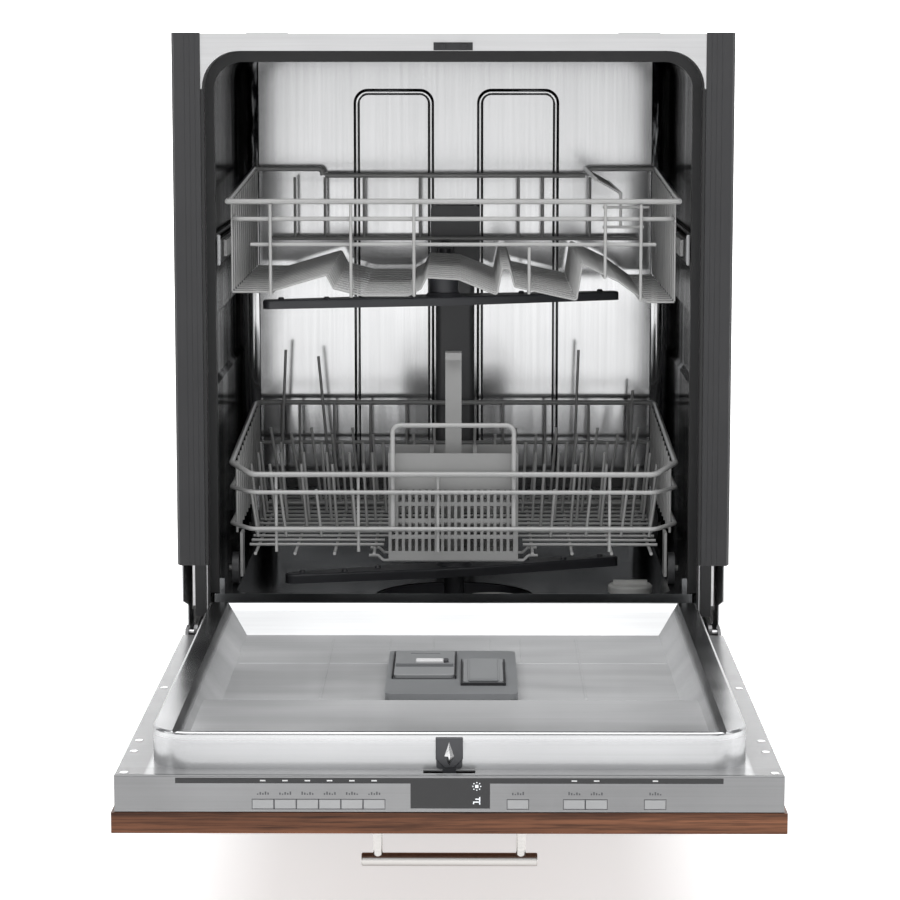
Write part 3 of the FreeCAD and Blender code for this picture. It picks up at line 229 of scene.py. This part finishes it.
def walnut():
    """Oiled walnut with its grain along X: broad bands, fine pores and a few dark streaks."""
    mat, tree, shader = fresh("walnut")
    bands = stretched_noise(tree, (1.3, 34, 60), 1.0, 6.0, 0.65)
    pores = stretched_noise(tree, (14, 520, 520), 1.0, 3.0, 0.7)
    streaks = stretched_noise(tree, (2.2, 150, 230), 1.0, 4.0, 0.6)
    colour = ramp(tree, bands, (0.045, 0.015, 0.007), (0.22, 0.09, 0.045), (0.34, 0.66))
    for value, low, share, ends in ((pores, 0.4, 0.8, (0.38, 0.54)), (streaks, 0.3, 0.7, (0.36, 0.56))):
        colour = times(tree, colour, grey_ramp(tree, value, low, 1.0, ends), share)
    tree.links.new(colour, shader.inputs["Base Color"])
    tree.links.new(spread(tree, bands, 0.5, 0.36), shader.inputs["Roughness"])
    shader.inputs["Specular IOR Level"].default_value = 0.2
    bump(tree, shader, [(pores, 0.5, 0.00012)])
    return mat


def felt():
    """Grey sound-deadening felt, lumpy and full of short fibres."""
    mat, tree, shader = fresh("felt")
    fibre = stretched_noise(tree, (1, 1, 0.35), 420.0, 6.0, 0.8)
    lump = stretched_noise(tree, (1, 1, 1), 26.0, 4.0)
    colour = ramp(tree, fibre, (0.035, 0.036, 0.038), (0.17, 0.17, 0.165))
    tree.links.new(colour, shader.inputs["Base Color"])
    shader.inputs["Roughness"].default_value = 0.95
    shader.inputs["Sheen Weight"].default_value = 0.3
    bump(tree, shader, [(lump, 0.6, 0.004), (fibre, 0.8, 0.0009)])
    return mat


def galvanised():
    """Zinc-coated sheet with its crystal spangle."""
    mat, tree, shader = fresh("galvanised")
    shader.inputs["Metallic"].default_value = 1.0
    place = tree.nodes.new("ShaderNodeTexCoord")
    crystal = tree.nodes.new("ShaderNodeTexVoronoi")
    crystal.inputs["Scale"].default_value = 260.0
    tree.links.new(place.outputs["Object"], crystal.inputs["Vector"])
    grey = tree.nodes.new("ShaderNodeRGBToBW")
    tree.links.new(crystal.outputs["Color"], grey.inputs["Color"])
    tree.links.new(ramp(tree, grey.outputs["Val"], (0.27, 0.278, 0.286), (0.33, 0.335, 0.34)),
                   shader.inputs["Base Color"])
    tree.links.new(spread(tree, grey.outputs["Val"], 0.32, 0.5), shader.inputs["Roughness"])
    bump(tree, shader, [(stretched_noise(tree, (1, 1, 1), 6.0, 2.0), 0.3, 0.002)])
    return mat


def glow(name, colour, strength):
    """A small lit mark."""
    mat, tree, shader = fresh(name)
    speck = stretched_noise(tree, (1, 1, 1), 700.0, 2.0)
    tree.links.new(ramp(tree, speck, shade(colour, 0.9), colour), shader.inputs["Base Color"])
    shader.inputs["Emission Color"].default_value = (*colour, 1)
    shader.inputs["Emission Strength"].default_value = strength
    shader.inputs["Roughness"].default_value = 0.5
    return mat


MATS = {
    "tub": painted_reflection_steel("tub_steel"),
    "back": steel("back_steel", (0.55, 0.552, 0.555), 0.13, (240, 240, 3), 0.00001, wave=0.002),
    "floor_pan": steel("floor_steel", (0.22, 0.225, 0.23), 0.22, (3, 240, 240), 0.00002, wave=0.002),
    "panel": door_steel("panel_steel"),
    "frame": steel("frame_steel", (0.55, 0.55, 0.552), 0.36, (4, 300, 300), edge=0.6),
    "rail": steel("rail_steel", (0.22, 0.22, 0.22), 0.3, (4, 300, 300), edge=0.4),
    "handle": steel("handle_steel", (0.47, 0.455, 0.44), 0.24, (2, 500, 500), 0.00005),
    "fascia": steel("fascia_silver", (0.23, 0.231, 0.233), 0.4, (2, 420, 420), 0.00002, edge=0.6),
    "small_steel": steel("small_steel", (0.6, 0.6, 0.6), 0.25, (150, 150, 10)),
    "zinc": galvanised(),
    "gasket": moulded("gasket_rubber", (0.004, 0.004, 0.0045), 0.5, 500.0, 0.00008),
    "strip": moulded("strip_rubber", (0.026, 0.026, 0.0275), 0.7, 700.0, 0.00005),
    "black": moulded("black_plastic", (0.012, 0.012, 0.014), 0.4),
    "dark": moulded("dark_plastic", (0.04, 0.041, 0.046), 0.42),
    "light": moulded("light_plastic", (0.4, 0.405, 0.41), 0.45),
    "wheel": moulded("wheel_grey", (0.06, 0.061, 0.063), 0.45),
    "duct": moulded("duct_grey", (0.09, 0.091, 0.094), 0.42),
    "basket": moulded("basket_plastic", (0.27, 0.27, 0.266), 0.5),
    "white": moulded("white_plastic", (0.62, 0.62, 0.6), 0.5),
    "wire": moulded("wire_coat", (0.36, 0.36, 0.355), 0.32, 300.0, 0.0001, coat=0.3),
    "button": moulded("button_silver", (0.3, 0.303, 0.306), 0.34, 900.0, 0.00002, coat=0.2),
    "display": moulded("display_black", (0.006, 0.006, 0.007), 0.2, 60.0, 0.00001),
    "dose": moulded("dose_grey", (0.17, 0.175, 0.18), 0.42),
    "dose_lid": moulded("dose_lid_grey", (0.22, 0.225, 0.23), 0.38),
    "ink": moulded("ink_grey", (0.06, 0.06, 0.065), 0.6),
    "pale": moulded("pale_mark", (0.6, 0.6, 0.6), 0.5),
    "walnut": walnut(),
    "felt": felt(),
    "lamp": glow("lamp_white", (0.75, 0.78, 0.8), 0.25),
}

NODE_MATS = {
    "tub": ["tub_wrapper"],
    "back": ["tub_back_wall"],
    "floor_pan": ["tub_floor"],
    "panel": ["inner_door_panel"],
    "frame": ["front_frame", "hinge_brackets", "hinge_arms", "worktop_brackets"],
    "rail": ["upper_tracks", "telescopic_rails"],
    "handle": ["bar_handle"],
    "fascia": ["control_fascia"],
    "small_steel": ["door_screws"],
    "zinc": ["side_panels", "door_outer_shell", "base_tray"],
    "gasket": ["tub_gasket"],
    "strip": ["side_trims"],
    "black": ["latch_strike", "toe_panel", "foot_front_left", "foot_front_right", "foot_rear",
              "drain_pump", "circulation_pump", "junction_box"],
    "duct": ["spray_feed_duct"],
    "dark": ["upper_spray_arm", "lower_spray_arm", "feed_manifold", "door_latch", "sump_housing"],
    "wheel": ["front_wheels", "rear_wheels"],
    "white": ["salt_container", "salt_cap", "filter_cup", "water_inlet_valve"],
    "basket": ["cutlery_basket"],
    "wire": ["upper_rack", "lower_rack", "rear_tine_row", "cup_shelf"],
    "button": [f"button_{i}" for i in range(1, 11)],
    "display": ["display_window"],
    "dose": ["dispenser_housing"],
    "dose_lid": ["detergent_lid", "rinse_aid_lid"],
    "walnut": ["wood_front_panel"],
    "felt": ["insulation_blanket"],
}


def dress(item, key):
    """Gives a CAD piece its material."""
    item.data.materials.clear()
    item.data.materials.append(MATS[key])


for key, names in NODE_MATS.items():
    for name in names:
        dress(nodes[name], key)


# ---- small pieces ----

def piece(name, verts, faces, key, body):
    """A new mesh that rides on a body."""
    mesh = bpy.data.meshes.new(name)
    mesh.from_pydata(verts, [], faces)
    mesh.update()
    item = bpy.data.objects.new(name, mesh)
    bpy.context.scene.collection.objects.link(item)
    mesh.materials.append(MATS[key])
    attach(item, body)
    return item


BOX_FACES = [(0, 1, 3, 2), (4, 6, 7, 5), (0, 4, 5, 1), (2, 3, 7, 6), (0, 2, 6, 4), (1, 5, 7, 3)]


def bars(name, boxes, key, body):
    """One piece of separate small boxes, each ((x0, x1), (y0, y1), (z0, z1)) in millimetres."""
    verts, faces = [], []
    for x, y, z in boxes:
        first = len(verts)
        verts += [(a / 1000, b / 1000, c / 1000) for a in x for b in y for c in z]
        faces += [tuple(first + i for i in face) for face in BOX_FACES]
    return piece(name, verts, faces, key, body)


def loft(name, rings, key, body):
    """A closed skin through rings of points in millimetres, capped at both ends."""
    count = len(rings[0])
    verts = [(x / 1000, y / 1000, z / 1000) for ring in rings for x, y, z in ring]
    faces = [tuple(range(count))[::-1], tuple(range(len(verts) - count, len(verts)))]
    for row in range(len(rings) - 1):
        for i in range(count):
            a, b = row * count + i, row * count + (i + 1) % count
            faces.append((a, b, b + count, a + count))
    return piece(name, verts, faces, key, body)


def soften(item, width, segments=2):
    """Rounds a piece's sharp edges by a width in millimetres."""
    edge = item.modifiers.new("soft", "BEVEL")
    edge.width = width / 1000
    edge.segments = segments
    edge.limit_method = "ANGLE"


FACE = -610.0     # the fascia's face and the buttons' middles, in millimetres
BUTTONS = [-163.9 + 19.6 * i for i in range(6)] + [60.5, 110, 129.6, 181.2]


def fascia_details():
    """Button outlines, small icons over the buttons, lamps on the strip and two symbols on the display."""
    outlines, icons, lamps = [], [], []
    for n, x in enumerate(BUTTONS):
        left, right, low, high = x - 9.8, x + 9.8, 179.1, 188.5
        flat = (FACE - 0.06, FACE + 0.4)
        outlines += [((left, right), flat, (low, low + 0.45)), ((left, right), flat, (high - 0.45, high)),
                     ((left, left + 0.45), flat, (low, high)), ((right - 0.45, right), flat, (low, high))]
        for i in range(5):
            tall = 1.1 + 0.45 * ((i * 3 + n * 2) % 5)
            icons.append(((x - 5.2 + 2.3 * i, x - 3.9 + 2.3 * i), flat, (192.2, 192.2 + tall)))
        if n != 6:
            lamps.append(((x - 2.4, x + 2.4), (FACE - 0.12, FACE + 0.3), (204.4, 205.6)))
    bars("button_outlines", outlines, "ink", "door")
    bars("button_icons", icons, "ink", "door")
    bars("strip_lamps", lamps, "pale", "door")
    flat = (FACE - 0.12, FACE + 0.3)
    sun = [((22.9, 25.7), flat, (198.6, 201.4))]
    straight, slanted = 3.4, 2.5
    rays = [(0, straight), (0, -straight), (straight, 0), (-straight, 0)]
    rays += [(x, z) for z in (slanted, -slanted) for x in (slanted, -slanted)]
    for dx, dz in rays:
        sun.append(((24.3 + dx - 0.5, 24.3 + dx + 0.5), flat, (200 + dz - 0.5, 200 + dz + 0.5)))
    tap = [((21, 27.4), flat, (185.4, 186.4)), ((26.4, 27.4), flat, (183.6, 190.4)),
           ((23, 26.4), flat, (188, 189)), ((21, 22), flat, (184, 185.4))]
    bars("display_symbols", sun + tap, "lamp", "door")


def dispenser_details():
    """Frames, grips and the bright catch on the dispenser's two lids."""
    top = 230.0
    seams = [((x, x + 1.4), (-286, -168), (226, 229.2)) for x in (-59, 3.6)]
    seams += [((x, x + 1.4), (-316, -204), (226, 228.6)) for x in (9.4, 52.2)]
    seams += [((-59, 5), (-287.5, -286), (225.8, 226.2)), ((9.4, 53.6), (-317.6, -316.2), (226, 228.6))]
    bars("dose_seams", seams, "black", "door")
    grips = [((-56, 2), (-247, -243), (top - 0.2, top + 3.2)),
             ((-42, -12), (-185, -183), (top - 0.2, top + 0.7))]
    grip = bars("dose_lid_grip", grips, "dose", "detergent_lid")
    soften(grip, 0.8)
    catch = bars("dose_catch", [((-36, -8), (-236, -224), (top - 0.2, top + 4))], "pale", "detergent_lid")
    soften(catch, 1.5)
    knob = bars("dose_catch_end", [((-8, -3), (-235, -226), (top - 0.2, top + 4.6))], "ink", "detergent_lid")
    soften(knob, 1.2)
    ridges = [((16 + 30 * i, 17.5 + 30 * i), (-312, -210), (229.2, 230.6)) for i in range(2)]
    soften(bars("rinse_lid_ridges", ridges, "dose_lid", "rinse_aid_lid"), 0.5)
    lip = bars("rinse_lid_lip", [((17, 46), (-315.5, -309), (229, 231.6))], "dose", "rinse_aid_lid")
    soften(lip, 1.0)


def latch_details():
    """The latch's tapered guide on the rim, with a bright wedge on it."""
    def outline(y, grow):
        return [(-11.5 - grow, y, 238 + grow), (11.5 + grow, y, 238 + grow), (11.5 + grow, y, 219),
                (4.5 + grow, y, 211.5), (-4.5 - grow, y, 211.5), (-11.5 - grow, y, 219)]
    guide = loft("latch_guide", [outline(-587.2, 0.8), outline(-589.6, 0)], "dark", "door")
    soften(guide, 0.6)
    wedge = [[(0, -589.4, 236), (4.6, -589.4, 222), (0, -589.4, 213), (-4.6, -589.4, 222)],
             [(0, -591.2, 228), (0.9, -591.2, 222), (0, -591.2, 219), (-0.9, -591.2, 222)]]
    loft("latch_wedge", wedge, "small_steel", "door")


def basin_details():
    """Pressed lines in the door's basin."""
    lines = []
    for x in (-128, 132):
        lines.append(((x - 1.2, x + 1.2), (-318, -24), (212.8, 213.5)))
    for x in (-66, -20, 40, 72):
        lines.append(((x - 0.7, x + 0.7), (-150, -24), (212.8, 213.4)))
    lines += [((-221, -66), (-152, -150.4), (212.8, 213.4)), ((67, 221), (-152, -150.4), (212.8, 213.4))]
    soften(bars("basin_lines", lines, "panel", "door"), 0.3)


def tub_corners():
    """The tub's rounded back corners, drawn with the wall."""
    for side, way in (("left", -1), ("right", 1)):
        rings = []
        for z in (243.4, 835.6):
            inner = [(way * (263.6 - 20 + 20 * math.sin(a)), 509.6 + 20 * math.cos(a) - 0.2, z)
                     for a in (i * math.pi / 32 for i in range(17))]
            rings.append(inner[::way] + [(way * 263.7, 529.6, z)])
        item = loft("tub_corner_" + side, rings, "back", "cabinet")
        for face in item.data.polygons:
            face.use_smooth = len(face.vertices) == 4
        soften(item, 0.2, 1)


def runner_caps():
    """Rounded end caps on the runners."""
    for side, way in (("left", -1), ("right", 1)):
        x = sorted((way * 255.2, way * 259.3))
        cap = bars("runner_cap_" + side, [(tuple(x), (85, 91.2), (607, 641))], "light", "runners")
        soften(cap, 2.6, 4)


def mouth_beads():
    """Black rubber beads between the side strips and the mouth."""
    for side, way in (("left", -1), ("right", 1)):
        x = sorted((way * 267.6, way * 271.5))
        bead = bars("mouth_bead_" + side, [(tuple(x), (43.4, 46), (281, 800))], "gasket", "cabinet")
        soften(bead, 0.8)


tub_corners()
mouth_beads()
runner_caps()
fascia_details()
dispenser_details()
latch_details()
basin_details()


# ---- stage, lights and camera ----

def area(name, place, aim, size, power):
    """A white rectangular lamp at a place, turned to face its aim."""
    lamp = bpy.data.lights.new(name, "AREA")
    lamp.shape = "RECTANGLE"
    lamp.size, lamp.size_y = size
    lamp.energy = power
    item = bpy.data.objects.new(name, lamp)
    bpy.context.scene.collection.objects.link(item)
    item.location = place
    item.rotation_euler = (Vector(aim) - Vector(place)).to_track_quat("-Z", "Y").to_euler()


def stage():
    """A pale, faintly lit floor that sweeps up into a backdrop, without an edge in view."""
    mat, tree, shader = fresh("floor_paper")
    tone = stretched_noise(tree, (1, 1, 1), 3.0, 3.0)
    tree.links.new(ramp(tree, tone, (0.87, 0.87, 0.87), (0.9, 0.9, 0.9)), shader.inputs["Base Color"])
    shader.inputs["Roughness"].default_value = 0.85
    shader.inputs["Emission Color"].default_value = (1, 1, 1, 1)
    shader.inputs["Emission Strength"].default_value = 0.6
    mesh = bpy.data.meshes.new("floor")
    wide, bend, wall = 14.0, 2.0, 8.0
    line = [(-14.0, 0.0), (wall - bend, 0.0)]
    line += [(wall - bend + bend * math.sin(i * math.pi / 24), bend - bend * math.cos(i * math.pi / 24))
             for i in range(1, 13)]
    line.append((wall, 7.0))
    verts = [(x, y, z) for y, z in line for x in (-wide, wide)]
    faces = [(2 * i, 2 * i + 1, 2 * i + 3, 2 * i + 2) for i in range(len(line) - 1)]
    mesh.from_pydata(verts, [], faces)
    for face in mesh.polygons:
        face.use_smooth = True
    floor = bpy.data.objects.new("floor", mesh)
    bpy.context.scene.collection.objects.link(floor)
    mesh.materials.append(mat)


def world():
    """A dim, even sky that fills the shadows."""
    sky = bpy.data.worlds.new("studio")
    bpy.context.scene.world = sky
    sky.use_nodes = True
    sky.node_tree.nodes["Background"].inputs["Color"].default_value = (0.96, 0.97, 1.0, 1)
    sky.node_tree.nodes["Background"].inputs["Strength"].default_value = 0.3


def camera():
    """At the front, a little over the machine's top, and looking slightly down."""
    data = bpy.data.cameras.new("camera")
    data.lens = 116.85
    data.sensor_width = 36
    data.clip_start, data.clip_end = 0.05, 100
    item = bpy.data.objects.new("camera", data)
    bpy.context.scene.collection.objects.link(item)
    item.location = (0.0165, -3.114, 0.841)
    item.rotation_euler = (math.radians(90 - 7.79), 0, math.radians(0.36))
    bpy.context.scene.camera = item


stage()
world()
area("front_soft", (0, -3.6, 0.95), (0, 0.2, 0.7), (3.2, 1.7), 15)
area("left_soft", (-2.6, -1.4, 1.3), (0, -0.1, 0.4), (0.9, 2.0), 8)
area("right_soft", (2.6, -1.4, 1.3), (0, -0.1, 0.4), (0.9, 2.0), 8)
area("top_soft", (0, -0.9, 3.0), (0, -0.9, 0.0), (5.0, 3.0), 130)
area("back_soft", (0, 5.0, 4.6), (0, 8.0, 1.2), (9.0, 1.4), 420)
camera()

view = bpy.context.scene.view_settings
view.view_transform = "Standard"
